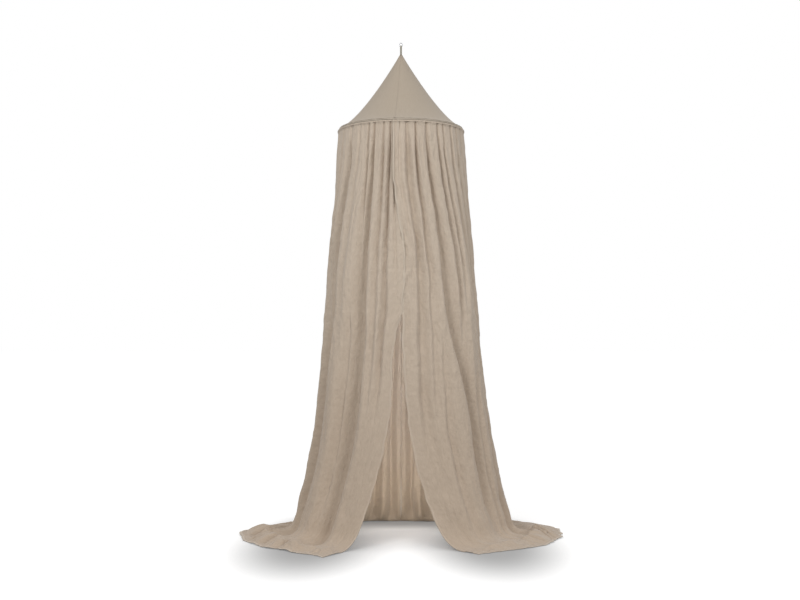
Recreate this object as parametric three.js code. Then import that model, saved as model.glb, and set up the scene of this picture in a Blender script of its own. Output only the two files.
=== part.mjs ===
// A hanging bed canopy: a wire ring and a tape carry a cloth cone on a hoop, and a gathered curtain with a
// front slit falls from the hoop and trails on the floor.
// Millimetres, +Z up. The origin is where the hook carries the ring, and the front faces -Y.
import * as THREE from "three";

// Heights and reaches of the whole canopy
const hoopRadius = 250;
const hoopAboveFloor = 1626;
const coneHeight = 310;
const trailReach = 650;

// Hanging ring: an oval of steel wire
const ringWire = 2.4;
const eyeWidth = 10.2;
const eyeHeight = 12.2;

// Hanging tape, looped over the ring's lower bar
const tapeWidth = 8;
const tapeThickness = 1;
const tapeLength = 33;
const tapePlay = 0.8;
const tapeClosing = 7;
const tapeTail = 12;

// Cloth of the cone and the patch inside its tip
const coneThickness = 2;
const patchThickness = 1.5;
const patchRadius = 28;

// Hoop, joiners, casing and piping
const hoopWire = 5;
const hoopEndGap = 1;
const joinerWall = 1;
const joinerHalfLength = 44;
const casingWall = 0.8;
const casingPlay = 0.6;
const pipingWidth = 3;

// Curtain cloth
const clothThickness = 2;
const foldDepth = 18;
const floorFoldDepth = 12;
const bendRun = 62;
const hemWidth = 20;
const bindingWidth = 8;
const gatherInset = 5;

// Gap between pieces that touch
const gap = 0.3;

// Shapes without a size: exponents, counts and shares
const coneCurve = 1.35;
const frontSeamTurn = -0.1;
const hoopSteps = 72;
const wireSides = 8;
const foldsPerSide = 16;
const stepsPerFold = 4;
const gatherShare = 0.35;
const slitAtSideShare = 0.5;
const sides = {
  left: {
    toRight: -1,
    slitFlare: 4,
    sideFlare: 6,
    straightShare: 0.6,
    footShares: [
      [0.285, -0.54], [0.46, -0.46], [0.62, -0.265], [0.69, 0], [0.6, 0.25], [0.35, 0.42], [0, 0.47],
    ],
    hemShares: [
      [0.43, -0.75], [0.65, -0.58], [0.885, -0.36], [1, 0], [0.87, 0.28], [0.53, 0.53], [0, 0.62],
    ],
  },
  right: {
    toRight: 1,
    slitFlare: 5.5,
    sideFlare: 6,
    straightShare: 0.72,
    footShares: [
      [0.285, -0.535], [0.47, -0.45], [0.625, -0.26], [0.695, 0], [0.61, 0.25], [0.36, 0.42], [0, 0.47],
    ],
    hemShares: [
      [0.43, -0.66], [0.66, -0.53], [0.89, -0.33], [1.005, 0], [0.95, 0.29], [0.56, 0.57], [0, 0.62],
    ],
  },
};

// Places that follow from the sizes
const barZ = -eyeHeight - ringWire / 2;
const tapeHoleRadius = Math.hypot(tapeWidth / 2, tapeThickness) + gap;
const tipZ = barZ - ringWire / 2 - tapeLength;
const hoopTubeRadius = hoopWire / 2;
const joinerBore = hoopTubeRadius + gap;
const joinerRadius = joinerBore + joinerWall;
const casingBore = joinerRadius + casingPlay;
const casingRadius = casingBore + casingWall;
const coneFootZ = tipZ - coneRise(tapeHoleRadius);
const pipingZ = coneFootZ - coneThickness - gap - pipingWidth / 2;
const hoopZ = pipingZ - pipingWidth / 2 - gap - casingRadius;
const curtainTopZ = hoopZ - casingRadius - gap;
const floorZ = hoopZ - hoopAboveFloor;
const gatherRadius = hoopRadius - gatherInset;

// Height of the sagging cone above its foot, at a distance from the axis
function coneRise(radius) {
  return coneHeight * (1 - radius / hoopRadius) ** coneCurve;
}

const steel = { color: 0xb9babd, roughness: 0.3, metalness: 1 };
const hoopSteel = { color: 0x9a9b9d, roughness: 0.45, metalness: 1 };
const tubePlastic = { color: 0xd8d6d0, roughness: 0.5, metalness: 0 };
const tapeCotton = { color: 0x9a978c, roughness: 0.9, metalness: 0 };
const coneCotton = { color: 0xb2a697, roughness: 0.95, metalness: 0 };
const pipingCotton = { color: 0xc4b9aa, roughness: 0.95, metalness: 0 };
const casingCotton = { color: 0x8a7e6f, roughness: 0.95, metalness: 0 };
const muslin = { color: 0xb7aa99, roughness: 0.95, metalness: 0 };
const bindingCotton = { color: 0xc6bbac, roughness: 0.95, metalness: 0 };

const canopy = new THREE.Group();

function add(name, geometry, look) {
  const mesh = new THREE.Mesh(geometry, new THREE.MeshStandardMaterial(look));
  mesh.name = name;
  canopy.add(mesh);
}

function smooth(share) {
  return THREE.MathUtils.smoothstep(share, 0, 1);
}

// A closed shell between an outer and an inner face, each a grid of points over columns and rows
function shell(columns, rows, facesOut, outerAt, innerAt) {
  const points = [];
  for (const faceAt of [outerAt, innerAt]) {
    for (const row of rows) {
      for (const column of columns) {
        const p = faceAt(column, row);
        points.push(p.x, p.y, p.z);
      }
    }
  }
  const across = columns.length;
  const inner = across * rows.length;
  const corners = [];
  const quad = (a, b, c, d) => {
    const loop = facesOut ? [a, b, c, a, c, d] : [a, c, b, a, d, c];
    corners.push(...loop);
  };
  for (let r = 0; r < rows.length - 1; r++) {
    for (let c = 0; c < across - 1; c++) {
      const at = r * across + c;
      quad(at, at + across, at + across + 1, at + 1);
      quad(inner + at, inner + at + 1, inner + at + across + 1, inner + at + across);
    }
  }
  const lastRow = (rows.length - 1) * across;
  for (let c = 0; c < across - 1; c++) {
    quad(c, c + 1, inner + c + 1, inner + c);
    quad(lastRow + c, inner + lastRow + c, inner + lastRow + c + 1, lastRow + c + 1);
  }
  for (let r = 0; r < rows.length - 1; r++) {
    const at = r * across;
    quad(at, inner + at, inner + at + across, at + across);
    const end = at + across - 1;
    quad(end, end + across, inner + end + across, inner + end);
  }
  const geometry = new THREE.BufferGeometry();
  geometry.setAttribute("position", new THREE.Float32BufferAttribute(points, 3));
  geometry.setIndex(corners);
  geometry.computeVertexNormals();
  return geometry;
}

// Evenly spaced values from one number to another, both included
function spread(from, to, steps) {
  return Array.from({ length: steps + 1 }, (_, i) => from + ((to - from) * i) / steps);
}

// Hanging ring: a torus drawn out to an oval, standing in the plane of the front
function hangingRing() {
  const wire = ringWire / 2;
  const halfWidth = eyeWidth / 2 + wire;
  const halfHeight = eyeHeight / 2 + wire;
  const steps = 40;
  const points = [];
  const corners = [];
  for (let i = 0; i < steps; i++) {
    const turn = (2 * Math.PI * i) / steps;
    const out = new THREE.Vector2(Math.cos(turn) * halfHeight, Math.sin(turn) * halfWidth).normalize();
    for (let k = 0; k < wireSides; k++) {
      const round = (2 * Math.PI * k) / wireSides;
      const reach = wire * Math.cos(round);
      points.push(
        halfWidth * Math.cos(turn) + out.x * reach,
        wire * Math.sin(round),
        barZ + halfHeight + halfHeight * Math.sin(turn) + out.y * reach,
      );
      const here = i * wireSides;
      const next = ((i + 1) % steps) * wireSides;
      const up = (k + 1) % wireSides;
      corners.push(here + k, here + up, next + up, here + k, next + up, next + k);
    }
  }
  const geometry = new THREE.BufferGeometry();
  geometry.setAttribute("position", new THREE.Float32BufferAttribute(points, 3));
  geometry.setIndex(corners);
  geometry.computeVertexNormals();
  return geometry;
}

// Hanging tape: one strip folded over the bar, its two plies closed below it, drawn from the side
function hangingTape() {
  const wire = ringWire / 2;
  const halfWidth = eyeWidth / 2 + wire;
  const halfHeight = eyeHeight / 2 + wire;
  const across = tapeWidth / 2 / halfWidth;
  const barRise = halfHeight * (1 - Math.sqrt(1 - across ** 2));
  const barSlope = (halfHeight / halfWidth) * (across / Math.sqrt(1 - across ** 2));
  const barTop = barRise + wire * Math.hypot(1, barSlope);
  const inside = wire + tapePlay;
  const outside = inside + tapeThickness;
  const crownZ = barZ + barTop + gap - inside;
  const loopFootZ = barZ - wire - gap;
  const closedZ = loopFootZ - tapeClosing;
  const endZ = tipZ - tapeTail;
  const outline = new THREE.Shape();
  outline.moveTo(-tapeThickness, endZ);
  outline.lineTo(tapeThickness, endZ);
  outline.lineTo(tapeThickness, closedZ - tapeThickness);
  outline.lineTo(outside, loopFootZ);
  outline.absarc(0, crownZ, outside, 0, Math.PI, false);
  outline.lineTo(-outside, loopFootZ);
  outline.lineTo(-tapeThickness, closedZ - tapeThickness);
  outline.closePath();
  const slot = new THREE.Path();
  slot.moveTo(0, closedZ);
  slot.lineTo(inside, loopFootZ);
  slot.absarc(0, crownZ, inside, 0, Math.PI, false);
  slot.lineTo(-inside, loopFootZ);
  slot.closePath();
  outline.holes.push(slot);
  const geometry = new THREE.ExtrudeGeometry(outline, {
    depth: tapeWidth, bevelEnabled: false, curveSegments: 6,
  });
  const sideways = new THREE.Matrix4().makeBasis(
    new THREE.Vector3(0, 1, 0), new THREE.Vector3(0, 0, 1), new THREE.Vector3(1, 0, 0),
  );
  return geometry.applyMatrix4(sideways).translate(-tapeWidth / 2, 0, 0);
}

// A point at a turn about the axis: 0 is the front, and a positive turn goes to the right
function aroundAxis(radius, turn, z) {
  return new THREE.Vector3(radius * Math.sin(turn), -radius * Math.cos(turn), z);
}

// Cone gore: a quarter of the sagging cone, from the tape's hole down to the piping. The front seam lies a
// little to the left of the middle.
const coneColumns = 10;
const coneRadii = [
  tapeHoleRadius, patchRadius, ...spread(patchRadius, hoopRadius, 7).slice(1),
];

function gore(quarter) {
  const from = (quarter * Math.PI) / 2 + frontSeamTurn;
  const columns = spread(0, 1, coneColumns);
  const faceAt = (depth) => (column, radius) => {
    const turn = from + (column * Math.PI) / 2;
    const p = aroundAxis(radius, turn, coneFootZ + coneRise(radius) - depth);
    const seam = aroundAxis(gap / 2, from + Math.PI / 4, 0);
    return p.add(seam);
  };
  return shell(columns, coneRadii, true, faceAt(0), faceAt(coneThickness));
}

// Apex patch: a small cone under the gores, with a hole for the tape
function apexPatch() {
  const under = (radius, depth) =>
    new THREE.Vector2(radius, coneFootZ + coneRise(radius) - coneThickness - gap - depth);
  const profile = [
    under(tapeHoleRadius, 0),
    under(tapeHoleRadius, patchThickness),
    under(patchRadius, patchThickness),
    under(patchRadius, 0),
    under(tapeHoleRadius, 0),
  ];
  return new THREE.LatheGeometry(profile, 4 * coneColumns).rotateX(Math.PI / 2).rotateZ(frontSeamTurn);
}

// An arc of the hoop's circle, from one turn to another
class HoopArc extends THREE.Curve {
  constructor(from, to) {
    super();
    this.from = from;
    this.to = to;
  }

  getPoint(share) {
    return aroundAxis(hoopRadius, this.from + (this.to - this.from) * share, hoopZ);
  }
}

function roundSection(radius) {
  const section = new THREE.Shape();
  section.absarc(0, 0, radius, 0, 2 * Math.PI, false);
  return section;
}

function sweep(section, from, to, steps) {
  return new THREE.ExtrudeGeometry(section, {
    steps, curveSegments: wireSides, extrudePath: new HoopArc(from, to),
  });
}

function hoopHalf(toRight) {
  const endTurn = hoopEndGap / 2 / hoopRadius;
  const section = roundSection(hoopTubeRadius);
  return sweep(section, toRight * endTurn, toRight * (Math.PI - endTurn), hoopSteps / 2);
}

function hoopJoiner(middle) {
  const halfTurn = joinerHalfLength / hoopRadius;
  const section = roundSection(joinerRadius);
  section.holes.push(new THREE.Path().absarc(0, 0, joinerBore, 0, 2 * Math.PI, true));
  return sweep(section, middle - halfTurn, middle + halfTurn, 4);
}

// Hoop casing: a cotton tube round the hoop, open along its lower inner side where the hoop goes in
function hoopCasing() {
  const openTurn = (5 * Math.PI) / 4;
  const halfOpening = Math.PI / 9;
  const steps = 10;
  const turns = spread(openTurn + halfOpening, openTurn - halfOpening + 2 * Math.PI, steps);
  const at = (radius) => (turn) =>
    new THREE.Vector2(hoopRadius + radius * Math.cos(turn), hoopZ + radius * Math.sin(turn));
  const outer = turns.map(at(casingRadius));
  const inner = turns.map(at(casingBore)).reverse();
  return new THREE.LatheGeometry([...outer, ...inner, outer[0]], hoopSteps).rotateX(Math.PI / 2);
}

// The curtain hangs in columns. Seen from above, a column starts under the hoop, meets the floor at its foot
// and ends at its hem. "turn" is 0 at the front slit, 0.5 at the side and 1 at the middle of the back.
function outlineCurve(side, shares) {
  const points = shares.map(([across, along]) =>
    new THREE.Vector3(side.toRight * across * trailReach, along * trailReach, 0));
  return new THREE.CatmullRomCurve3(points, false, "catmullrom");
}
for (const side of Object.values(sides)) {
  side.foot = outlineCurve(side, side.footShares);
  side.hem = outlineCurve(side, side.hemShares);
}

// Share of the way from hoop to foot that a column has gone outwards, after a share of its fall
function flare(side, turn, fall) {
  const atSide = side.straightShare * fall + (1 - side.straightShare) * fall ** side.sideFlare;
  const atSlit = fall ** side.slitFlare;
  const nearSlit = Math.max(0, 1 - turn / slitAtSideShare) ** 2;
  return THREE.MathUtils.lerp(atSide, atSlit, nearSlit);
}

// How far a fold stands out of the cloth's inner line, from nothing in a valley
function foldHeight(turn, fall, onFloor) {
  const wave = (1 - Math.cos(2 * Math.PI * foldsPerSide * turn)) / 2;
  const opened = gatherShare + (1 - gatherShare) * smooth(fall * 3);
  return wave * THREE.MathUtils.lerp(foldDepth * opened, floorFoldDepth, smooth(onFloor));
}

// A point of the curtain. "row" runs 0 to 1 down the hanging cloth, to 2 round the bend at the floor, to 3 out
// to the hem's stitching and 4 to 5 over the hem, and "depth" is how far the point lies in from the outer face.
function clothPoint(side, turn, row, depth) {
  const around = side.toRight * Math.PI * turn;
  const top = aroundAxis(gatherRadius, around, 0);
  const foot = side.foot.getPoint(turn);
  const hem = side.hem.getPoint(turn);
  const drop = curtainTopZ - floorZ;
  const bendFall = 1 - bendRun / drop;
  const fall = Math.min(row, 1) * bendFall;
  const bend = THREE.MathUtils.clamp(row - 1, 0, 1);
  const p = top.clone().lerp(foot, flare(side, turn, fall));
  p.z = curtainTopZ - fall * drop;
  if (row > 1) {
    const out = hem.clone().sub(foot);
    const length = out.length();
    out.divideScalar(length);
    const corner = foot.clone().setZ(floorZ);
    const landing = corner.clone().addScaledVector(out, bendRun);
    p.multiplyScalar((1 - bend) ** 2);
    p.addScaledVector(corner, 2 * bend * (1 - bend));
    p.addScaledVector(landing, bend ** 2);
    const stitched = length - hemWidth;
    const toStitching = THREE.MathUtils.clamp(row - 2, 0, 1) * (stitched - gap - bendRun);
    const overHem = row < 4 ? 0 : gap + (row - 4) * hemWidth;
    p.addScaledVector(out, toStitching + overHem);
  }
  const facing = aroundAxis(1, around, 0).multiplyScalar(1 - bend);
  facing.z = bend;
  facing.normalize();
  const height = foldHeight(turn, fall, bend) + clothThickness - depth;
  return p.addScaledVector(facing, height);
}

// Rows of the grid: closer together towards the floor, then the bend, then the trailing cloth
const hangRows = spread(0, 1, 8).map((share) => 1 - (1 - share) ** 1.3);
const bendRows = spread(1, 2, 3).slice(1);
const toStitchingRows = [...hangRows, ...bendRows, 2.5, 3];
const hemRows = [4, 5];
const bindingRows = [...hangRows, ...bendRows, 3, 5];

function cloth(side, turnFrom, turnTo, steps, rows) {
  const columns = spread(turnFrom, turnTo, steps);
  const outerAt = (turn, row) => clothPoint(side, turn, row, 0);
  const innerAt = (turn, row) => clothPoint(side, turn, row, clothThickness);
  return shell(columns, rows, side.toRight > 0, outerAt, innerAt);
}

const turnPerLength = 1 / (Math.PI * gatherRadius);
const slitTurn = (gap / 2) * turnPerLength;
const bindingTurn = slitTurn + bindingWidth * turnPerLength;
const frontTurn = bindingTurn + gap * turnPerLength;
const seamTurn = (gap / 2) * turnPerLength;
const panelSteps = (foldsPerSide / 2) * stepsPerFold;

add("hanging_ring", hangingRing(), steel);
add("hanging_tape", hangingTape(), tapeCotton);
add("apex_patch", apexPatch(), coneCotton);
["front_right", "back_right", "back_left", "front_left"].forEach((place, quarter) =>
  add(`cone_gore_${place}`, gore(quarter), coneCotton));
add("cone_piping", new THREE.TorusGeometry(hoopRadius, pipingWidth / 2, wireSides, hoopSteps)
  .translate(0, 0, pipingZ), pipingCotton);
add("hoop_casing", hoopCasing(), casingCotton);
add("hoop_joiner_front", hoopJoiner(0), tubePlastic);
add("hoop_joiner_back", hoopJoiner(Math.PI), tubePlastic);
for (const [name, side] of Object.entries(sides)) {
  add(`hoop_half_${name}`, hoopHalf(side.toRight), hoopSteel);
  const front = [frontTurn, 0.5 - seamTurn, panelSteps];
  const back = [0.5 + seamTurn, 1 - seamTurn, panelSteps];
  add(`front_panel_${name}`, cloth(side, ...front, toStitchingRows), muslin);
  add(`front_hem_${name}`, cloth(side, ...front, hemRows), muslin);
  add(`front_binding_${name}`, cloth(side, slitTurn, bindingTurn, 1, bindingRows), bindingCotton);
  add(`back_panel_${name}`, cloth(side, ...back, toStitchingRows), muslin);
  add(`back_hem_${name}`, cloth(side, ...back, hemRows), muslin);
}

export default canopy;
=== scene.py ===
import math

import bpy
import numpy as np
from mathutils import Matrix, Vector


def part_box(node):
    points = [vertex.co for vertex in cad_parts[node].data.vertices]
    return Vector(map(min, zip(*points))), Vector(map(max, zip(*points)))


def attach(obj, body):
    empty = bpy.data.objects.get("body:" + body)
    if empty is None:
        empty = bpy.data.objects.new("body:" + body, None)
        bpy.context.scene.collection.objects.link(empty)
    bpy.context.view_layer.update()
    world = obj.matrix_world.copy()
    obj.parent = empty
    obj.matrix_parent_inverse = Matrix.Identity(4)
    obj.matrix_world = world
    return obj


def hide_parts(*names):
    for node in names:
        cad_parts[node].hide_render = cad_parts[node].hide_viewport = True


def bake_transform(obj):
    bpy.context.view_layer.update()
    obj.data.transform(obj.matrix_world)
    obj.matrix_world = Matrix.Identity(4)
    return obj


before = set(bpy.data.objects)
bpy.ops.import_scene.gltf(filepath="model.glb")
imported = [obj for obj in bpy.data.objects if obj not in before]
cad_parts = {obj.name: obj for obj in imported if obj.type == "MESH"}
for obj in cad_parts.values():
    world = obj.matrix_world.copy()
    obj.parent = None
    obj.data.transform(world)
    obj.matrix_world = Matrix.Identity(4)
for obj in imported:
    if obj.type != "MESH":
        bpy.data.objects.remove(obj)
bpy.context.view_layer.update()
bpy.ops.object.select_all(action="DESELECT")

# Camera. It looks level at the front from 4.5 m, 0.786 m above the floor, so the hoop is seen from
# below. The picture is 800 pixels wide, with the horizon 40 pixels under its middle and the
# hanging line 1 pixel to the right of it.
floor_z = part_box("front_hem_left")[0].z
camera_distance = 4.5
camera_height = 0.786
picture_width = 800
horizon_pixels = 40
axis_pixels = 1
bpy.ops.object.camera_add(
    location=(0, -camera_distance, floor_z + camera_height), rotation=(math.pi / 2, 0, 0)
)
camera = bpy.context.object
camera.name = "camera"
camera.data.lens = 50
camera.data.sensor_width = 36
camera.data.shift_x = -axis_pixels / picture_width
camera.data.shift_y = horizon_pixels / picture_width
bpy.context.scene.camera = camera

# Hanging ring. An oval of bright plated steel wire with its ends butted and soldered at one side.
# The ceiling hook goes through its eye, and the tape is folded over its lower bar.
ring_low, ring_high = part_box("hanging_ring")
ring_wire = ring_high.y - ring_low.y
ring_half_width = (ring_high.x - ring_low.x) / 2 - ring_wire / 2
ring_half_height = (ring_high.z - ring_low.z) / 2 - ring_wire / 2
solder_height = 0.0003
solder_turn = 0.2
solder_spread = 0.01


def linear(hex_colour):
    """A colour as it is written in a picture, as the numbers that a shader takes."""
    shares = [int(hex_colour[i : i + 2], 16) / 255 for i in (0, 2, 4)]
    return [s / 12.92 if s <= 0.04045 else ((s + 0.055) / 1.055) ** 2.4 for s in shares] + [1]


def new_material(name, colour, roughness, metallic=0.0):
    """A plain material, which the pieces' own shading is then added to."""
    material = bpy.data.materials.new(name)
    material.use_nodes = True
    shader = material.node_tree.nodes["Principled BSDF"]
    shader.inputs["Base Color"].default_value = linear(colour)
    shader.inputs["Roughness"].default_value = roughness
    shader.inputs["Metallic"].default_value = metallic
    return material


def add_node(material, kind, settings=(), inputs=()):
    """A shader node with its settings made, and its inputs set to a value or joined to a node."""
    node = material.node_tree.nodes.new(kind)
    for key, value in dict(settings).items():
        setattr(node, key, value)
    for key, value in dict(inputs).items():
        if isinstance(value, bpy.types.NodeSocket):
            material.node_tree.links.new(value, node.inputs[key])
        else:
            node.inputs[key].default_value = value
    return node


def drawn_steel(name, colour, roughness):
    """Wire with the fine scratches that run along it and small darker patches."""
    material = new_material(name, colour, roughness, metallic=1.0)
    shader = material.node_tree.nodes["Principled BSDF"]
    place = add_node(material, "ShaderNodeTexCoord").outputs["Object"]
    wear = add_node(
        material, "ShaderNodeTexNoise", inputs={"Vector": place, "Scale": 400, "Detail": 5}
    ).outputs["Fac"]
    rough = add_node(
        material,
        "ShaderNodeMapRange",
        inputs={"Value": wear, "To Min": roughness * 0.7, "To Max": roughness * 1.5},
    ).outputs["Result"]
    bump = add_node(
        material, "ShaderNodeBump", inputs={"Height": wear, "Strength": 0.3, "Distance": 0.0001}
    ).outputs["Normal"]
    material.node_tree.links.new(rough, shader.inputs["Roughness"])
    material.node_tree.links.new(bump, shader.inputs["Normal"])
    return material


ring_steel = drawn_steel("ring_steel", "A6A7AB", roughness=0.22)
bpy.ops.mesh.primitive_torus_add(
    major_segments=96,
    minor_segments=20,
    major_radius=ring_half_width,
    minor_radius=ring_wire / 2,
    rotation=(math.pi / 2, 0, 0),
)
ring = bpy.context.object
ring.name = "hanging_ring_wire"
bpy.ops.object.transform_apply(location=True, rotation=True, scale=True)
ring_middle = (ring_low + ring_high) / 2
for vertex in ring.data.vertices:
    turn = math.atan2(vertex.co.z, vertex.co.x)
    stretch = (ring_half_height - ring_half_width) * math.sin(turn)
    solder = solder_height * math.exp(-((turn - solder_turn) ** 2) / solder_spread)
    vertex.co.z += stretch + ring_middle.z
    vertex.co.y *= 1 + solder / (ring_wire / 2)
bpy.ops.object.shade_smooth()
ring.data.materials.append(ring_steel)
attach(ring, "ring")
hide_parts("hanging_ring")

# Hanging tape. A narrow woven cotton tape, folded over the ring's lower bar and closed under it
# with a few stitches. Its two plies go down through the tip of the cone and are sewn to the patch
# inside.
tape_low, tape_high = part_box("hanging_tape")
tape_ply = 0.0009
tape_ply_gap = 0.0001
tape_crown_steps = 12
tape_ripple = 0.00012
tape_bar_z = ring_low.z + ring_wire / 2
tape_loop_radius = tape_high.y - tape_ply / 2
tape_crown_z = tape_high.z - tape_high.y
tape_closed_z = tape_bar_z - 0.0095


def mesh_piece(name, points, faces):
    """A new object from its points and faces, in the scene."""
    mesh = bpy.data.meshes.new(name)
    mesh.from_pydata([tuple(p) for p in points], [], faces)
    mesh.update()
    piece = bpy.data.objects.new(name, mesh)
    bpy.context.scene.collection.objects.link(piece)
    return piece


def grid_faces(rows, columns, closed=False):
    """Faces of a grid of points, row by row. A closed grid joins its last column to its first."""
    across = columns if closed else columns - 1
    return [
        (r * columns + c, (r + 1) * columns + c, (r + 1) * columns + d, r * columns + d)
        for r in range(rows - 1)
        for c in range(across)
        for d in [(c + 1) % columns]
    ]


def give_cut_map(piece, across, down):
    """A UV map in metres of cloth, from each vertex's place across and down the cut piece."""
    layer = piece.data.uv_layers.new(name="cut")
    corners = np.zeros(len(piece.data.loops), np.int32)
    piece.data.loops.foreach_get("vertex_index", corners)
    uv = np.stack([np.ravel(across)[corners], np.ravel(down)[corners]], axis=1)
    layer.data.foreach_set("uv", uv.astype(np.float32).ravel())


def thicken(piece, thickness, offset):
    """Give a sheet its thickness, inwards from its face for an offset of -1, and smooth shading."""
    bpy.context.view_layer.objects.active = piece
    solid = piece.modifiers.new("thickness", "SOLIDIFY")
    solid.thickness = thickness
    solid.offset = offset
    bpy.ops.object.modifier_apply(modifier=solid.name)
    for polygon in piece.data.polygons:
        polygon.use_smooth = True


def mixed_colour(material, share, first, second):
    """The first colour where the share is 0 and the second where it is 1."""
    return add_node(
        material,
        "ShaderNodeMix",
        {"data_type": "RGBA"},
        {"Factor": share, "A": first, "B": second},
    ).outputs["Result"]


def woven_cotton(
    name,
    colour,
    dark,
    threads,
    sheen,
    streaks=(260, 40),
    crease=(60, 60),
    crease_depth=0.0,
    foot=None,
):
    """Cotton cloth: two sets of threads, a slow drift of shade, streaks where the threads lie closer
    and, if asked, creases. Streaks and creases are told in lines to the metre, across and down the
    cloth. foot holds two darker colours of painted shade that a long drop of cloth fades to towards
    its hem, standing in for the dimmer light low down."""
    material = new_material(name, colour, roughness=0.95)
    shader = material.node_tree.nodes["Principled BSDF"]
    shader.inputs["Sheen Weight"].default_value = sheen
    shader.inputs["Sheen Roughness"].default_value = 0.5
    shader.inputs["Specular IOR Level"].default_value = 0.2
    links = material.node_tree.links
    cut = add_node(material, "ShaderNodeUVMap", {"uv_map": "cut"}).outputs["UV"]

    def noise(scale, detail, roughness=0.55):
        place = add_node(
            material, "ShaderNodeMapping", inputs={"Vector": cut, "Scale": (*scale, 1)}
        ).outputs["Vector"]
        return add_node(
            material,
            "ShaderNodeTexNoise",
            inputs={"Vector": place, "Scale": 1, "Detail": detail, "Roughness": roughness},
        ).outputs["Fac"]

    def bands(direction):
        return add_node(
            material,
            "ShaderNodeTexWave",
            {"wave_type": "BANDS", "bands_direction": direction},
            {"Vector": cut, "Scale": threads / 20, "Distortion": 0.6, "Detail": 1},
        ).outputs["Fac"]

    def math_node(operation, a, b):
        return add_node(
            material, "ShaderNodeMath", {"operation": operation}, {0: a, 1: b}
        ).outputs["Value"]

    drift = math_node("MULTIPLY", noise((3, 1.5), detail=3), 0.8)
    streak = math_node("MULTIPLY", noise(streaks, detail=3, roughness=0.6), 1.4)
    shade = math_node("SUBTRACT", math_node("ADD", drift, streak), 0.6)
    tone = mixed_colour(material, shade, linear(dark), linear(colour))
    # Painted shade: the cloth turns darker and browner down towards the hem, for the dimmer light
    # low down.
    if foot:
        down = add_node(material, "ShaderNodeSeparateXYZ", inputs={"Vector": cut}).outputs["Y"]
        painted_shade_lowness = add_node(
            material,
            "ShaderNodeMapRange",
            {"interpolation_type": "SMOOTHSTEP"},
            {"Value": down, "From Min": 0.3, "From Max": 1.6},
        ).outputs["Result"]
        painted_foot_shade = mixed_colour(material, shade, linear(foot[1]), linear(foot[0]))
        tone = mixed_colour(material, painted_shade_lowness, tone, painted_foot_shade)
    links.new(tone, shader.inputs["Base Color"])
    weave = math_node("MULTIPLY", bands("X"), bands("Y"))
    normal = add_node(
        material, "ShaderNodeBump", inputs={"Height": weave, "Strength": 0.35, "Distance": 0.0003}
    ).outputs["Normal"]
    if crease_depth:
        wide_crease = (crease[0] * 0.4, crease[1] * 0.5)
        folds = math_node(
            "ADD", noise(crease, detail=4, roughness=0.6), noise(wide_crease, detail=2)
        )
        normal = add_node(
            material,
            "ShaderNodeBump",
            inputs={"Height": folds, "Strength": 1, "Distance": crease_depth, "Normal": normal},
        ).outputs["Normal"]
    links.new(normal, shader.inputs["Normal"])
    return material


tape_cotton = woven_cotton(
    "tape_cotton", "A39F93", "8E8A7E", threads=2500, sheen=0.15, streaks=(900, 90)
)
tape_closed_y = tape_ply / 2 + tape_ply_gap
loop = [(tape_closed_y, tape_low.z), (tape_closed_y, tape_closed_z)]
loop += [(tape_loop_radius * 0.75, tape_bar_z - 0.004), (tape_loop_radius, tape_bar_z - 0.001)]
for step in range(tape_crown_steps + 1):
    turn = math.pi * step / tape_crown_steps
    loop.append(
        (tape_loop_radius * math.cos(turn), tape_crown_z + tape_loop_radius * math.sin(turn))
    )
loop += [(-y, z) for y, z in reversed(loop[:4])]
tape_places = np.array(loop)
tape_runs = np.concatenate([[0], np.cumsum(np.hypot(*np.diff(tape_places, axis=0).T))])
tape_downs = np.linspace(0, tape_runs[-1], 120)
tape_line = np.stack([np.interp(tape_downs, tape_runs, tape_places[:, k]) for k in (0, 1)], 1)
tape_acrosses = np.linspace(tape_low.x, tape_high.x, 15)
tape_points = [
    (x, y, z + tape_ripple * math.sin(x * 900 + z * 300))
    for y, z in tape_line
    for x in tape_acrosses
]
tape = mesh_piece("hanging_tape_loop", tape_points, grid_faces(len(tape_line), len(tape_acrosses)))
give_cut_map(
    tape, np.tile(tape_acrosses, len(tape_line)), np.repeat(tape_downs, len(tape_acrosses))
)
thicken(tape, tape_ply, 0)
tape.data.materials.append(tape_cotton)
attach(tape, "canopy")
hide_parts("hanging_tape")

# Cone. Four gores of plain smooth cotton, seamed from the tip to the hoop and pulled taut by the
# hoop's weight. The cloth sags a little between the seams and puckers at the tip, where all four
# are gathered.
piping_low, piping_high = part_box("cone_piping")
hoop_radius = (piping_high.x - piping_low.x) / 2 - (piping_high.z - piping_low.z) / 2
cone_foot_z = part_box("cone_gore_front_left")[0].z + 0.002
cone_top_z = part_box("cone_gore_front_left")[1].z
cone_hole = 0.0044
cone_curve = 1.35
cone_height = (cone_top_z - cone_foot_z) / (1 - cone_hole / hoop_radius) ** cone_curve
front_seam_turn = -0.1
cone_sag = 0.005
tip_pucker = 0.0007
foot_pucker = 0.0003
cone_thickness = 0.0012
seam_height = 0.0009
seam_half_width = 0.003
cone_rows = 60
cone_columns = 360
cone_map_radius = 0.2


def cone_z(radius):
    """The height of the taut cone over a point at this distance from the hanging line."""
    return cone_foot_z + cone_height * (1 - radius / hoop_radius) ** cone_curve


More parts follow.
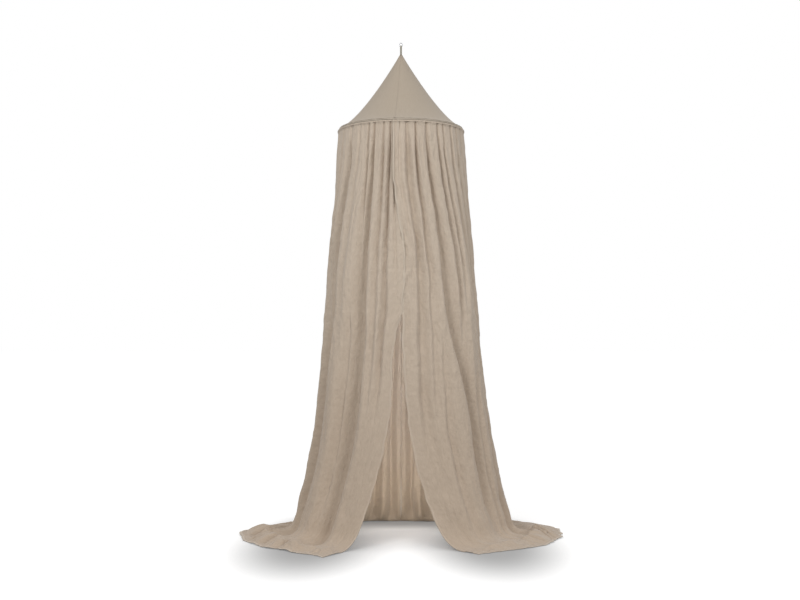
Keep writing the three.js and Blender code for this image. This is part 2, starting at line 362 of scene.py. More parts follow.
cone_radii = cone_hole + (hoop_radius - cone_hole) * np.linspace(0, 1, cone_rows) ** 1.15
cone_turns = front_seam_turn + 2 * math.pi * np.arange(cone_columns) / cone_columns
turns, radii = np.meshgrid(cone_turns, cone_radii)
from_seam = np.abs((turns - front_seam_turn + math.pi / 4) % (math.pi / 2) - math.pi / 4)
between = np.sin(2 * (turns - front_seam_turn)) ** 2
tautness = np.sin(math.pi * radii / hoop_radius) ** 0.8
sag = cone_sag * between * tautness
pucker = tip_pucker * np.sin(26 * turns + 2 * np.sin(3 * turns)) * np.exp(-radii / 0.03)
foot_ripple = foot_pucker * np.sin(44 * turns + 3 * np.sin(5 * turns))
foot_ripple = foot_ripple * np.exp((radii - hoop_radius) / 0.02)
seam_ridge = seam_height * np.exp(-((from_seam * radii / seam_half_width) ** 2))
heights = cone_z(radii) - sag + pucker + foot_ripple + seam_ridge
cone_points = np.stack([radii * np.sin(turns), -radii * np.cos(turns), heights], -1).reshape(-1, 3)
cone = mesh_piece("cone_cloth", cone_points, grid_faces(cone_rows, cone_columns, closed=True))
give_cut_map(cone, turns * cone_map_radius, heights)
seam_distance = cone.data.attributes.new("seam_distance", "FLOAT", "POINT")
seam_distance.data.foreach_set("value", (from_seam * radii).astype(np.float32).ravel())
thicken(cone, cone_thickness, -1)
cone_cotton = woven_cotton(
    "cone_cotton",
    "AFA292",
    "A69988",
    threads=1600,
    sheen=0.2,
    streaks=(260, 40),
    crease=(25, 12),
    crease_depth=0.0004,
)
cone_normal = cone_cotton.node_tree.nodes["Principled BSDF"].inputs["Normal"]
seam_line = add_node(
    cone_cotton, "ShaderNodeAttribute", {"attribute_name": "seam_distance"}
).outputs["Fac"]
seam_groove = add_node(
    cone_cotton,
    "ShaderNodeMapRange",
    {"interpolation_type": "SMOOTHSTEP"},
    {"Value": seam_line, "From Min": 0.0004, "From Max": 0.0022},
).outputs["Result"]
seam_bump = add_node(
    cone_cotton,
    "ShaderNodeBump",
    inputs={
        "Height": seam_groove,
        "Strength": 0.8,
        "Distance": 0.0012,
        "Normal": cone_normal.links[0].from_socket,
    },
).outputs["Normal"]
cone_cotton.node_tree.links.new(seam_bump, cone_normal)
cone.data.materials.append(cone_cotton)
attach(cone, "canopy")
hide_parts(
    "cone_gore_front_left",
    "cone_gore_front_right",
    "cone_gore_back_left",
    "cone_gore_back_right",
)

# Apex patch. A small cone of the same cotton inside the tip, which the ends of the tape are sewn to.
# Two rows of stitches hold it to the gores.
patch_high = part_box("apex_patch")[1]
patch_radius = patch_high.x
patch_depth_under_cone = 0.0028
patch_ripple = 0.0003
patch_thickness = 0.0011
patch_rows = 24
patch_columns = 96
patch_map_radius = 0.02
patch_radii = np.linspace(cone_hole, patch_radius, patch_rows)
turns, radii = np.meshgrid(2 * math.pi * np.arange(patch_columns) / patch_columns, patch_radii)
patch_heights = cone_z(radii) - patch_depth_under_cone
patch_heights = patch_heights + patch_ripple * np.sin(18 * turns) * radii / patch_radius
patch_points = np.stack([radii * np.sin(turns), -radii * np.cos(turns), patch_heights], -1)
patch = mesh_piece(
    "apex_patch_cloth",
    patch_points.reshape(-1, 3),
    grid_faces(patch_rows, patch_columns, closed=True),
)
give_cut_map(patch, turns * patch_map_radius, radii)
thicken(patch, patch_thickness, -1)
patch.data.materials.append(cone_cotton)
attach(patch, "canopy")
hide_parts("apex_patch")

# Hoop and joiners. A hoop of plain steel wire in two halves, with short plastic tubes over its ends.
# They lie inside the casing and stay as built, with their finishes.
hoop_steel = drawn_steel("hoop_steel", "9A9B9D", roughness=0.42)
joiner_plastic = new_material("joiner_plastic", "D8D6D0", roughness=0.5)
joiner_place = add_node(joiner_plastic, "ShaderNodeTexCoord").outputs["Object"]
joiner_grain = add_node(
    joiner_plastic, "ShaderNodeTexNoise", inputs={"Vector": joiner_place, "Scale": 900, "Detail": 3}
).outputs["Fac"]
joiner_bump = add_node(
    joiner_plastic,
    "ShaderNodeBump",
    inputs={"Height": joiner_grain, "Strength": 0.2, "Distance": 0.0001},
).outputs["Normal"]
joiner_plastic.node_tree.links.new(
    joiner_bump, joiner_plastic.node_tree.nodes["Principled BSDF"].inputs["Normal"]
)
for node, finish in [
    ("hoop_half_left", hoop_steel),
    ("hoop_half_right", hoop_steel),
    ("hoop_joiner_front", joiner_plastic),
    ("hoop_joiner_back", joiner_plastic),
]:
    for slot in bpy.data.objects[node].material_slots:
        slot.material = finish

# Hoop casing and piping. The casing is a cotton tube round the hoop, a little loose, so it is
# ruffled, and darker than the curtain. A thin covered cord lies in the seam between it and the
# cone.
casing_low, casing_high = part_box("hoop_casing")
casing_radius = (casing_high.z - casing_low.z) / 2
hoop_z = (casing_low.z + casing_high.z) / 2
casing_ruffle = 0.0007
piping_z = (piping_low.z + piping_high.z) / 2
piping_radius = 0.0018
piping_ruffle = 0.0001


def cloth_ring(name, ring_z, radius, ruffle, around, sides):
    """A cloth-covered ring on the hoop's circle, ruffled across by up to the given height."""
    bpy.ops.object.select_all(action="DESELECT")
    bpy.ops.mesh.primitive_torus_add(
        major_segments=around,
        minor_segments=sides,
        major_radius=hoop_radius,
        minor_radius=radius,
        location=(0, 0, ring_z),
    )
    piece = bpy.context.object
    piece.name = name
    bpy.ops.object.transform_apply(location=True, rotation=True, scale=True)
    co = np.array([v.co for v in piece.data.vertices])
    turn = np.arctan2(co[:, 0], -co[:, 1])
    out = np.hypot(co[:, 0], co[:, 1]) - hoop_radius
    tall = co[:, 2] - ring_z
    round_turn = np.arctan2(tall, out)
    wave = np.sin(95 * turn + 1.4 * np.sin(7 * turn) + round_turn) * np.sin(11 * turn + 0.5)
    reach = 1 - ruffle / radius * (0.5 + 0.5 * wave)
    new_radius = hoop_radius + out * reach
    co[:, 0] = new_radius * np.sin(turn)
    co[:, 1] = -new_radius * np.cos(turn)
    co[:, 2] = ring_z + tall * reach
    piece.data.vertices.foreach_set("co", co.ravel())
    give_cut_map(piece, turn * hoop_radius, round_turn * radius)
    bpy.ops.object.shade_smooth()
    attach(piece, "canopy")
    return piece


casing = cloth_ring(
    "hoop_casing_cloth", hoop_z, casing_radius, casing_ruffle, around=640, sides=18
)
casing_cotton = woven_cotton(
    "casing_cotton",
    "94887A",
    "837767",
    threads=1600,
    sheen=0.1,
    streaks=(300, 40),
    crease=(300, 40),
    crease_depth=0.0008,
)
casing.data.materials.append(casing_cotton)
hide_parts("hoop_casing")
piping = cloth_ring(
    "cone_piping_cord", piping_z, piping_radius, piping_ruffle, around=480, sides=12
)
piping_cotton = woven_cotton(
    "piping_cotton", "CBC0B1", "BDB1A1", threads=1600, sheen=0.15, streaks=(300, 300)
)
piping.data.materials.append(piping_cotton)
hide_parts("cone_piping")

# Curtain. Long panels of crinkled double-gauze cotton, gathered over the casing. The two front
# panels overlap at the top, part below a long slit and trail on the floor to each side. The back
# hangs and trails behind.
curtain_top_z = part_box("front_panel_left")[1].z
gather_radius = hoop_radius - 0.005
cloth_stand = 0.008
side_draw_in = 0.008
muslin_thickness = 0.0012
heading_radius = 0.0062
heading_start_degrees = -52
heading_sweep_degrees = 72
trail_reach = 0.65
bend_run = 0.062
valley_steep_side = 0.75
valley_easy_side = 1.5
valley_squareness = 2.6
small_fold_height = 0.0024
crinkle_height = 0.0012
fine_crinkle_height = 0.0008
foot_crinkle_height = 0.0010
slit_pucker_height = 0.0032
floor_lift = 0.0022
back_ridge_height = 0.029
front_ridge_height = 0.026
floor_crease_height = 0.010
hang_rows = 150
bend_rows = 14
trail_rows = 32
# to_right is the way round from the slit. foot and hem are the lines where the cloth meets the floor
# and where it ends, seen from above, from the slit round to the middle of the back, as shares of
# trail_reach. slit_flare is how late the slit's edges part on the way down, and straight is how much
# of the sides' spread is a straight line. drift is how many degrees the cloth moves round towards
# the back, and how soon. edge is how far the slit's edge stands to the right of the middle, in
# millimetres, by the share of the fall, and edge_out how far it stands out, in metres. On the floor,
# sweep is how far the folds lean aside, and calm is the width beside the slit where they stay low.
# Each valley has its degrees round the hoop from the slit, its depth at the top and low down and its
# half width at the top and low down in millimetres, where it starts and ends as shares of the fall,
# and how many degrees it moves away from the slit lower down.
sides = {
    "left": dict(
        to_right=-1,
        slit_flare=4,
        straight=0.6,
        foot=[
            (0.285, -0.54), (0.46, -0.46), (0.62, -0.265), (0.69, 0),
            (0.6, 0.25), (0.35, 0.42), (0, 0.47),
        ],
        hem=[
            (0.43, -0.75), (0.65, -0.58), (0.885, -0.36), (1, 0),
            (0.87, 0.28), (0.53, 0.53), (0, 0.62),
        ],
        drift=(18, 1.1),
        sweep=12,
        calm=0.05,
        edge=[
            (0, -8), (0.14, -8), (0.24, 8), (0.35, 20), (0.45, 12), (0.5, -8), (0.56, -14), (0.7, 0),
        ],
        edge_out=-0.005,
        valleys=[
            (3.5, 7, 7, 3, 4, -1, 0.4, 0),
            (8.8, 20, 22, 5, 8, -1, 0.64, 0),
            (14.7, 16, 20, 5, 9, -1, 0.64, 0),
            (23.5, 25, 63, 6, 24, -1, 1.5, 0),
            (28.7, 16, 15, 5, 8, -1, 0.3, 0),
            (33, 4, 17, 5, 9, 0.45, 0.95, 0),
            (38, 6, 10, 6, 10, -1, 0.5, 0),
            (49, 30, 71, 12, 26, 0.02, 1.5, 5),
            (58, 6, 17, 6, 9, 0.3, 1.0, 5),
            (62, 12, 17, 7, 12, -1, 0.8, 0),
            (77, 15, 22, 8, 18, -1, 1.0, 0),
        ],
    ),
    "right": dict(
        to_right=1,
        slit_flare=5.5,
        straight=0.72,
        foot=[
            (0.285, -0.535), (0.47, -0.45), (0.625, -0.26), (0.695, 0),
            (0.61, 0.25), (0.36, 0.42), (0, 0.47),
        ],
        hem=[
            (0.43, -0.66), (0.66, -0.53), (0.89, -0.33), (1.005, 0),
            (0.95, 0.29), (0.56, 0.57), (0, 0.62),
        ],
        drift=(18, 0.75),
        sweep=10,
        calm=0.3,
        edge=[
            (0, -31), (0.14, -30), (0.23, -9), (0.28, 2), (0.33, 7), (0.42, 4), (0.52, 0), (1, 0),
        ],
        edge_out=0.004,
        valleys=[
            (1.2, 8, 5, 3, 4, -1, 0.6, 0),
            (3.0, 10, 6, 3, 4, -1, 0.5, 0),
            (6.6, 24, 27, 6, 10, -1, 0.76, 0),
            (12.4, 23, 20, 5, 9, -1, 0.7, 0),
            (17, 3, 16, 4, 8, 0.5, 0.95, 0),
            (22.3, 27, 48, 7, 20, -1, 0.92, 11),
            (33.5, 26, 27, 6, 12, -1, 0.5, 4),
            (39.5, 21, 20, 5, 9, -1, 0.38, 0),
            (44, 5, 15, 5, 9, 0.6, 1.0, 0),
            (49, 26, 27, 6, 12, -1, 0.36, 0),
            (57.7, 26, 46, 6, 17, -1, 1.0, 0),
            (67, 22, 27, 6, 13, -1, 0.6, 0),
            (76, 24, 32, 6, 15, -1, 1.05, 0),
        ],
    ),
}
back_valleys = [
    (87, 15, 16, 7, 14, -1, 1.1, 0),
    (97, 16, 12, 7, 12, -1, 0.7, 0),
    (107, 18, 20, 7, 15, -1, 1.2, 0),
    (117, 15, 12, 7, 12, -1, 0.6, 0),
    (127, 18, 18, 7, 15, -1, 1.2, 0),
    (138, 17, 15, 7, 13, -1, 0.9, 0),
    (147, 16, 17, 7, 11, -1, 1.2, 0),
    (153, 9, -12, 6, 6, 0.2, 1.1, 0),
    (158.5, 17, 17, 6, 9, -1, 1.2, 0),
    (164, 9, -14, 6, 5, 0.2, 1.1, 0),
    (169, 16, 17, 6, 9, -1, 1.2, 0),
    (174, 9, -16, 6, 5, 0.2, 1.05, 0),
    (178.5, 10, 12, 6, 9, -1, 1.2, 0),
]


def smooth(share):
    """Ease from 0 to 1, and stay there on either side."""
    share = np.clip(share, 0, 1)
    return share * share * (3 - 2 * share)


def outline_at(shares, side, turn):
    """A point on an outline seen from above, by its turn, with a smooth curve through the points."""
    p = np.array(shares, float) * trail_reach
    p = np.vstack([2 * p[0] - p[1], p, 2 * p[-1] - p[-2]])
    place = np.clip(turn, 0, 1) * (len(shares) - 1)
    at = np.minimum(place.astype(int), len(shares) - 2)
    w = (place - at)[..., None]
    a, b, c, d = p[at], p[at + 1], p[at + 2], p[at + 3]
    leave, arrive = (c - a) / 2, (d - b) / 2
    curve = b + leave * w + (3 * (c - b) - 2 * leave - arrive) * w**2
    curve += (2 * (b - c) + leave + arrive) * w**3
    return curve * [side["to_right"], 1]


def crumple(across, down, seed):
    """Smooth uneven heights from -1 to 1, one new value for each unit across and down."""
    table = np.random.default_rng(seed).uniform(-1, 1, (128, 128))
    i, j = np.floor(across).astype(int), np.floor(down).astype(int)
    u, v = smooth(across - i), smooth(down - j)
    i, j, k, m = i % 128, j % 128, (i + 1) % 128, (j + 1) % 128
    top = table[i, j] * (1 - u) + table[k, j] * u
    foot = table[i, m] * (1 - u) + table[k, m] * u
    return top * (1 - v) + foot * v


def fold_heights(side, cut, fall, seed):
    """How far the folds stand out, and how far they lean along the cloth. A valley is steep on the
    side of the slit and eases out on the other."""
    arc = cut * math.pi * gather_radius
    wander = 0.004 * crumple(fall * 4, cut * 12, seed)
    wander = wander + 0.002 * crumple(fall * 14, cut * 30, seed + 1)
    opened = 0.4 + 0.6 * smooth(fall / 0.1)
    lower = smooth((fall - 0.02) / 0.55)
    behind = smooth((cut - 0.55) / 0.1)
    beside_slit = np.exp(-((arc / 0.045) ** 2)) * smooth((fall - 0.05) / 0.1)
    beside_slit = beside_slit * (1 - smooth((fall - 0.45) / 0.2))
    drawn_in = side_draw_in * smooth(fall / 0.2) * (1 - smooth((fall - 0.65) / 0.2))
    drawn_in = drawn_in * np.exp(-(((cut - 0.48) / 0.12) ** 2))
    height = cloth_stand - drawn_in
    height = height + 0.007 * crumple(cut * 9, fall * 2.5, seed + 2) * smooth(fall / 0.3)
    height = height + 0.006 * crumple(cut * 14, fall * 4, seed + 9) * smooth((fall - 0.5) / 0.3)
    lean = 0 * arc
    for valley in side["valleys"] + back_valleys:
        degree, depth, low_depth, half_width, low_half_width, start, end, aside = valley
        place = (degree + aside * smooth((fall - 0.4) / 0.3)) / 180 * math.pi * gather_radius
        shown = smooth((fall - start) / 0.15 + 0.5) * (1 - smooth((fall - end) / 0.25 + 0.5))
        reach = (half_width + (low_half_width - half_width) * lower) / 1000 * (0.4 + opened * 0.6)
        away = (arc - place + wander * smooth(fall / 0.1)) / reach
        away = np.where(away < 0, away / valley_steep_side, away / valley_easy_side)
        dip = (depth + (low_depth - depth) * lower) / 1000 * shown * opened
        height = height - dip * np.exp(-np.abs(away) ** valley_squareness)
        lean = lean - 0.15 * dip * away * np.exp(-np.abs(away) ** 1.5)
    small = crumple(arc / 0.012 + 2 * crumple(fall * 9, cut * 14, seed + 3), fall * 12, seed + 4)
    small = small_fold_height * (1 - 2 * np.abs(small))
    height = height + small * smooth(fall / 0.05) * (1 - 0.4 * lower)
    crinkle = crinkle_height * crumple(arc / 0.006, fall * 30 + arc * 30, seed + 5)
    crinkle = crinkle + fine_crinkle_height * crumple(arc / 0.004, fall * 60, seed + 6)
    crinkle = crinkle + lower * foot_crinkle_height * crumple(arc / 0.014, fall * 90, seed + 7)
    pucker_place = arc / 0.010 + 1.5 * crumple(fall * 26, cut * 10, seed + 18)
    puckers = crumple(pucker_place, fall * 11, seed + 19)
    crinkle = crinkle + slit_pucker_height * beside_slit * (1 - 2 * np.abs(puckers))
    lumps = (0.006 + 0.007 * behind) * smooth((fall - 0.8) / 0.15)
    lumps = lumps * crumple(arc / 0.03, fall * 20, seed + 8)
    return height + crinkle + lumps, lean


def curtain_points(side, cut, row):
    """Points of the curtain's outer face. cut is the place round the gathered cloth, 0 at the slit,
    0.5 at the side seam and 1 in the middle of the back. row runs from -1 to 0 down over the casing,
    to 1 down the fall, to 2 round the bend at the floor and to 3 along the floor to the hem."""
    seed = 50 + 20 * side["to_right"]
    drop = curtain_top_z - floor_z
    fall = np.clip(row, 0, 1) * (1 - bend_run / drop)
    bend = np.clip(row - 1, 0, 1)
    trail = np.clip(row - 2, 0, 1)
    degrees, power = side["drift"]
    inside = np.clip(cut, 0, 1)
    drifting = np.sin(math.pi * np.minimum(inside / 0.62, 1) ** power)
    turn = cut + degrees / 180 * drifting * smooth(fall / 0.4)
    around = side["to_right"] * math.pi * turn
    radial = np.stack([np.sin(around), -np.cos(around)], -1)
    tangent = np.stack([-radial[..., 1], radial[..., 0]], -1) * side["to_right"]
    foot = outline_at(side["foot"], side, turn)
    hem = outline_at(side["hem"], side, turn)
    near_slit = np.clip(1 - turn / 0.5, 0, 1) ** 2
    at_side = side["straight"] * fall + (1 - side["straight"]) * fall**6
    flare = (at_side * (1 - near_slit) + fall ** side["slit_flare"] * near_slit)[..., None]
    over = np.clip(-row, 0, 1)
    tilt = np.radians(heading_start_degrees + heading_sweep_degrees * over)
    heading = smooth(over * 8)
    start_radius = gather_radius * (1 - heading) + heading * (
        hoop_radius + heading_radius * np.cos(tilt) - cloth_stand
    )
    plan = radial * start_radius[..., None] * (1 - flare) + foot * flare
    z = curtain_top_z - fall * drop
    z = z * (1 - heading) + heading * (hoop_z + heading_radius * np.sin(tilt))
    arc = inside * math.pi * gather_radius
    wobble = 0.003 * crumple(fall * 45, 0 * cut, seed + 11) * np.exp(-arc / 0.02)
    wobble = wobble * smooth(fall / 0.1) * (1 - smooth((fall - 0.9) / 0.1))
    out = hem - foot
    length = np.linalg.norm(out, axis=-1, keepdims=True)
    out = out / length
    at_seam = np.exp(-(((cut - 0.5) / 0.12) ** 2))
    scallop = 0.008 * crumple(cut * 26, 0 * cut, seed + 12)
    scallop = scallop + 0.005 * (1 - at_seam) * crumple(cut * 90, 0 * cut, seed + 13)
    b = bend[..., None]
    landed = bend_run * (1 - 0.8 * smooth((cut - 0.6) / 0.2))
    plan = plan * (1 - b) ** 2 + foot * 2 * b * (1 - b) + (foot + out * landed[..., None]) * b**2
    z = z * (1 - bend) ** 2 + floor_z * (1 - (1 - bend) ** 2)
    run = trail * (length[..., 0] - landed)
    plan = plan + out * (run + trail**2 * scallop)[..., None]

    # The hanging cloth's folds, its gathers at the hoop and its edge along the slit.
    height, lean = fold_heights(side, inside, fall, seed)
    height = height + (cloth_stand - height) * smooth(over * 3)
    gathers = 0.0009 * np.sin(arc * 620 + 4 * crumple(cut * 60, 0 * cut, seed + 14))
    height = height + gathers * np.exp(-fall / 0.012) * (1 - over)
    share, shift = zip(*side["edge"])
    beside = np.interp(fall, share, shift) / 1000 * np.exp(-((arc / 0.024) ** 2)) + wobble
    outwards = side["edge_out"] * np.exp(-((arc / 0.04) ** 2)) * smooth(fall / 0.06)
    height = height + outwards * (1 - smooth((fall - 0.5) / 0.15))

    # The ridges and creases of the cloth that lies on the floor.
    warp = 2 * crumple(run * 9, cut * 6, seed + 15)
    swell = np.abs(crumple(cut * 26 + side["sweep"] * run + warp, run * 4 + 3, seed + 16))
    creases = (1 - np.abs(crumple(cut * 44 - warp, run * 14, seed + 17))) ** 2
    lifted = (0.25 + 0.75 * smooth(trail / 0.2)) * (1 - 0.85 * smooth((trail - 0.45) / 0.55))
    front = 1 - smooth((cut - 0.4) / 0.1)
    lifted = lifted * (0.15 + 0.85 * smooth(arc / side["calm"])) * (0.45 + 0.55 * front)
    swept = 1 - smooth((cut - 0.6) / 0.1)
    back_ridges = back_ridge_height * (1 - swell) ** 2.5 * (1 - swept)
    ridges = back_ridges + front_ridge_height * (1 - (1 - swell) ** 4) * swept
    on_floor = floor_lift + (ridges + floor_crease_height * creases) * lifted
    carried_on = 0.35 * np.maximum(height + 0.035, 0) * (1 - smooth(trail / 0.6))
    on_floor = on_floor + carried_on * front * smooth(arc / 0.06)
    height = height * (1 - smooth(bend)) + on_floor * smooth(bend)
    stand = np.sqrt(bend**2 + (1 - bend) ** 2)
    facing = radial * ((1 - bend) / stand)[..., None]
    plan = plan + facing * height[..., None] + tangent * (lean * (1 - bend))[..., None]
    plan = plan + np.stack([beside, 0 * beside], -1) * (1 - b)
    z = np.maximum(z + bend / stand * height, floor_z + 0.0018)
    return np.concatenate([plan, z[..., None]], -1)


def even_cuts(side, first, last, columns):
    """Places round the cloth, evenly spaced along its folded path a third of the way down."""
    fine = np.linspace(first, last, 3000)
    path = curtain_points(side, fine, np.full(3000, 0.3))
    runs = np.concatenate([[0], np.cumsum(np.linalg.norm(np.diff(path, axis=0), axis=1))])
    steps = np.linspace(0, runs[-1], columns)
    return np.interp(steps, runs, fine)


def cloth_from(name, side, cuts, rows, proud, thickness):
    """A piece of the curtain over these cuts and rows, a little proud of its outer face. cuts can
    have a line of its own for each of the rows."""
    cut = np.broadcast_to(cuts, (len(rows), cuts.shape[-1]))
    row = np.broadcast_to(rows[:, None], cut.shape)
    points = curtain_points(side, cut, row)
    across = np.gradient(points, axis=1) + 1e-9
    down = np.gradient(points, axis=0) + 1e-9
    normal = np.cross(across, down) * side["to_right"]
    normal = normal / np.linalg.norm(normal, axis=-1, keepdims=True)
    points = points - normal * proud
    faces = grid_faces(*cut.shape)
    if side["to_right"] < 0:
        faces = [tuple(reversed(face)) for face in faces]
    piece = mesh_piece(name, points.reshape(-1, 3), faces)
    middle = points[:, cut.shape[1] // 2]
    downs = np.concatenate([[0], np.cumsum(np.linalg.norm(np.diff(middle, axis=0), axis=-1))])
    third = points[len(rows) // 3]
    acrosses = np.concatenate([[0], np.cumsum(np.linalg.norm(np.diff(third, axis=0), axis=-1))])
    give_cut_map(piece, np.tile(acrosses, len(rows)), np.repeat(downs, len(acrosses)))
    thicken(piece, thickness, -1)
    return piece


curtain_rows = np.concatenate(
    [
        np.linspace(-1, 0, 9),
        np.linspace(0, 1, hang_rows)[1:],
        np.linspace(1, 2, bend_rows)[1:],
        np.linspace(2, 3, trail_rows)[1:],
    ]
)
hem_rows = np.linspace(2.92, 3.0, 6)
# The muslin's foot colours are painted shade, darker and browner towards the hem.
muslin = woven_cotton(
    "muslin",
    "CBBCAB",
    "BBAC9B",
    threads=900,
    sheen=0.25,
    streaks=(140, 45),
    crease=(120, 65),
    crease_depth=0.0033,
    foot=("BDAC9A", "AD9C8A"),
)
# The binding's foot colours are painted shade, darker towards the hem.
binding_cotton = woven_cotton(
    "binding_cotton",
    "CBBEAE",
    "C0B3A3",
    threads=1600,
    sheen=0.2,
    streaks=(300, 60),
    foot=("C1B1A0", "B5A594"),
)
side_seam_cut = 0.5
side_seam_gap = 0.0005
front_columns = 235
back_columns = 170
hem_proud = 0.0007
hem_thickness = 0.0007
binding_width = 0.0065
binding_proud = 0.0006
binding_thickness = 0.0024

for side_name, side in sides.items():
    cuts = even_cuts(side, 0, side_seam_cut - side_seam_gap, front_columns)
    front = cloth_from(
        f"curtain_front_{side_name}", side, cuts, curtain_rows, proud=0, thickness=muslin_thickness
    )
    # The binding keeps its width, so the cuts that it covers are found anew in each row.
    near_edge = 0.01
    edges = [
        curtain_points(side, np.full(len(curtain_rows), cut), curtain_rows)
        for cut in (0, near_edge)
    ]
    reach = near_edge * binding_width / np.linalg.norm(edges[1] - edges[0], axis=-1)
    binding = cloth_from(
        f"front_edge_binding_{side_name}",
        side,
        reach[:, None] * np.linspace(0, 1, 5),
        curtain_rows,
        proud=binding_proud,
        thickness=binding_thickness,
    )
    hem = cloth_from(
        f"front_foot_hem_{side_name}", side, cuts, hem_rows, proud=hem_proud, thickness=hem_thickness
    )
    for piece, finish, slot_name in [
        (front, muslin, "muslin"),
        (binding, binding_cotton, "binding_cotton"),
        (hem, muslin, "muslin"),
    ]:
        piece.data.materials.append(finish)
        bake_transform(piece)
    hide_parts(f"front_panel_{side_name}")
    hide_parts(f"front_binding_{side_name}")
    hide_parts(f"front_hem_{side_name}")

    cuts = even_cuts(side, side_seam_cut + side_seam_gap, 1, back_columns)
    back = cloth_from(
        f"curtain_back_{side_name}", side, cuts, curtain_rows, proud=0, thickness=muslin_thickness
    )
    hem = cloth_from(
        f"back_foot_hem_{side_name}", side, cuts, hem_rows, proud=hem_proud, thickness=hem_thickness
    )
    for piece in (back, hem):
        piece.data.materials.append(muslin)
        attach(piece, "canopy")
    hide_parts(f"back_panel_{side_name}")
    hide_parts(f"back_hem_{side_name}")

# Floor and light. A wide white floor that keeps the canopy's soft shadow, with three painted ovals
# of shadow round the cloth in the colour and glow it shows the camera, in a white room. One lamp
# stands at the front left and a wide one at the right. A strip and a low bar inside give the light
# that comes through the thin cloth.
bpy.ops.mesh.primitive_plane_add(size=80, location=(0, 30, floor_z))
floor = bpy.context.object
floor.name = "floor"
bpy.ops.object.transform_apply(location=True, rotation=True, scale=True)
floor_darkest = 0.63
shade_core = 0.2
shade_rim = 1.2
floor_seen_colour = (0.85, 0.85, 0.85, 1)
floor_bounce_colour = (0.3, 0.298, 0.295, 1)
floor_glow_strength = 0.4
floor_white = new_material("floor_white", "FFFFFF", roughness=0.9)
floor_shader = floor_white.node_tree.nodes["Principled BSDF"]
floor_shader.inputs["Specular IOR Level"].default_value = 0
floor_shader.inputs["Emission Color"].default_value = (1, 1, 1, 1)
seen_by_camera = add_node(floor_white, "ShaderNodeLightPath").outputs["Is Camera Ray"]
floor_place = add_node(floor_white, "ShaderNodeTexCoord").outputs["Object"]


def floor_shade(middle, reach):
    """Painted shadow on the floor round the cloth: darkest in the middle of an oval, 0 at its rim.
    """
    place = add_node(
        floor_white,
        "ShaderNodeMapping",
        inputs={
            "Vector": floor_place,
            "Location": (-middle[0] / reach[0], -middle[1] / reach[1], 0),
            "Scale": (1 / reach[0], 1 / reach[1], 0),
        },
    ).outputs["Vector"]
    away = add_node(
        floor_white, "ShaderNodeVectorMath", {"operation": "LENGTH"}, {0: place}
    ).outputs["Value"]
    return add_node(
        floor_white,
        "ShaderNodeMapRange",
        {"interpolation_type": "SMOOTHSTEP"},
        {
            "Value": away,
            "From Min": shade_core,
            "From Max": shade_rim,
            "To Min": floor_darkest,
            "To Max": 0,
        },
    ).outputs["Result"]


def floor_math(operation, first, second, clamp=False):
    """Two numbers of the floor's shading put together."""
    settings = {"operation": operation, "use_clamp": clamp}
    return add_node(floor_white, "ShaderNodeMath", settings, {0: first, 1: second}).outputs["Value"]


# Painted shadow: two ovals under the front pools of cloth and one inside the canopy darken the
# floor.
front_shade = floor_math(
    "ADD", floor_shade((-0.36, -0.3), (0.315, 0.7)), floor_shade((0.35, -0.3), (0.305, 0.7))
)
floor_dark = floor_math("ADD", front_shade, floor_shade((0, 0.32), (0.5, 0.28)))
floor_clear = floor_math("SUBTRACT", 1, floor_dark, clamp=True)
# The painted shadow darkens both the floor's colour and its glow, as the camera sees them.
floor_seen = mixed_colour(floor_white, floor_clear, (0, 0, 0, 1), floor_seen_colour)
floor_colour = mixed_colour(floor_white, seen_by_camera, floor_bounce_colour, floor_seen)
floor_white.node_tree.links.new(floor_colour, floor_shader.inputs["Base Color"])
floor_glow = floor_math(
    "MULTIPLY", floor_math("MULTIPLY", seen_by_camera, floor_clear), floor_glow_strength
)
floor_white.node_tree.links.new(floor_glow, floor_shader.inputs["Emission Strength"])
floor.data.materials.append(floor_white)

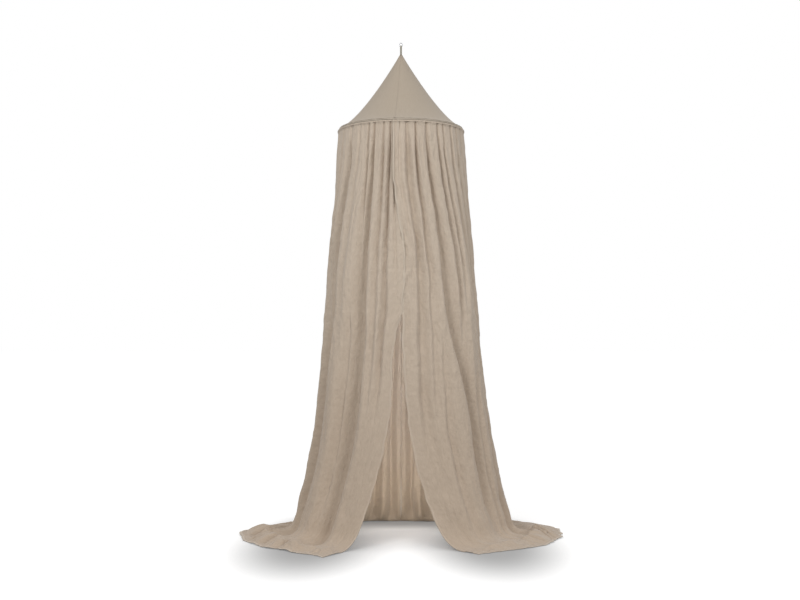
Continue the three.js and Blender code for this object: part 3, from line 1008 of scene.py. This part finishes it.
# The room gives the cloth a little less light than it shows to the camera and in the metal.
room_light = 0.72
room_seen = 1.0
world = bpy.data.worlds.new("white_room")
bpy.context.scene.world = world
world.use_nodes = True
sky = world.node_tree.nodes["Background"]
sky.inputs["Color"].default_value = (1, 1, 1, 1)
rays = world.node_tree.nodes.new("ShaderNodeLightPath").outputs
seen = world.node_tree.nodes.new("ShaderNodeMath")
seen.operation = "MAXIMUM"
world.node_tree.links.new(rays["Is Camera Ray"], seen.inputs[0])
world.node_tree.links.new(rays["Is Glossy Ray"], seen.inputs[1])
strength = world.node_tree.nodes.new("ShaderNodeMapRange")
strength.inputs["To Min"].default_value = room_light
strength.inputs["To Max"].default_value = room_seen
world.node_tree.links.new(seen.outputs["Value"], strength.inputs["Value"])
world.node_tree.links.new(strength.outputs["Result"], sky.inputs["Strength"])


def add_lamp(name, place, aim, width, height, power):
    """A flat lamp that the camera doesn't see, turned towards a point, of so many watts."""
    bpy.ops.object.light_add(type="AREA", location=place)
    lamp = bpy.context.object
    lamp.name = name
    lamp.data.shape = "RECTANGLE"
    lamp.data.size = width
    lamp.data.size_y = height
    lamp.data.energy = power
    direction = np.array(aim) - np.array(place)
    lamp.rotation_euler = (
        math.atan2(math.hypot(direction[0], direction[1]), -direction[2]),
        0,
        math.atan2(-direction[0], direction[1]),
    )
    lamp.visible_camera = False
    return lamp


add_lamp(
    "key_lamp",
    place=(-1.55, -3.1, floor_z + 2.45),
    aim=(0, 0, floor_z + 1.3),
    width=1,
    height=1,
    power=38,
)
add_lamp(
    "fill_lamp",
    place=(2.2, -3.8, floor_z + 1.4),
    aim=(0, 0, floor_z + 1.0),
    width=1.6,
    height=1.6,
    power=42,
)
inner_strip = add_lamp(
    "inner_strip",
    place=(0, -0.03, floor_z + 0.72),
    aim=(0, 0.4, floor_z + 0.72),
    width=0.12,
    height=1.0,
    power=1.6,
)
inner_strip.data.color = (0.96, 0.97, 1)
inner_bar = add_lamp(
    "inner_bar",
    place=(0, 0.01, floor_z + 0.06),
    aim=(0, 0.24, floor_z + 0.34),
    width=0.3,
    height=0.05,
    power=0.6,
)
inner_bar.data.color = (1, 0.95, 0.84)
bpy.context.scene.view_settings.view_transform = "Standard"
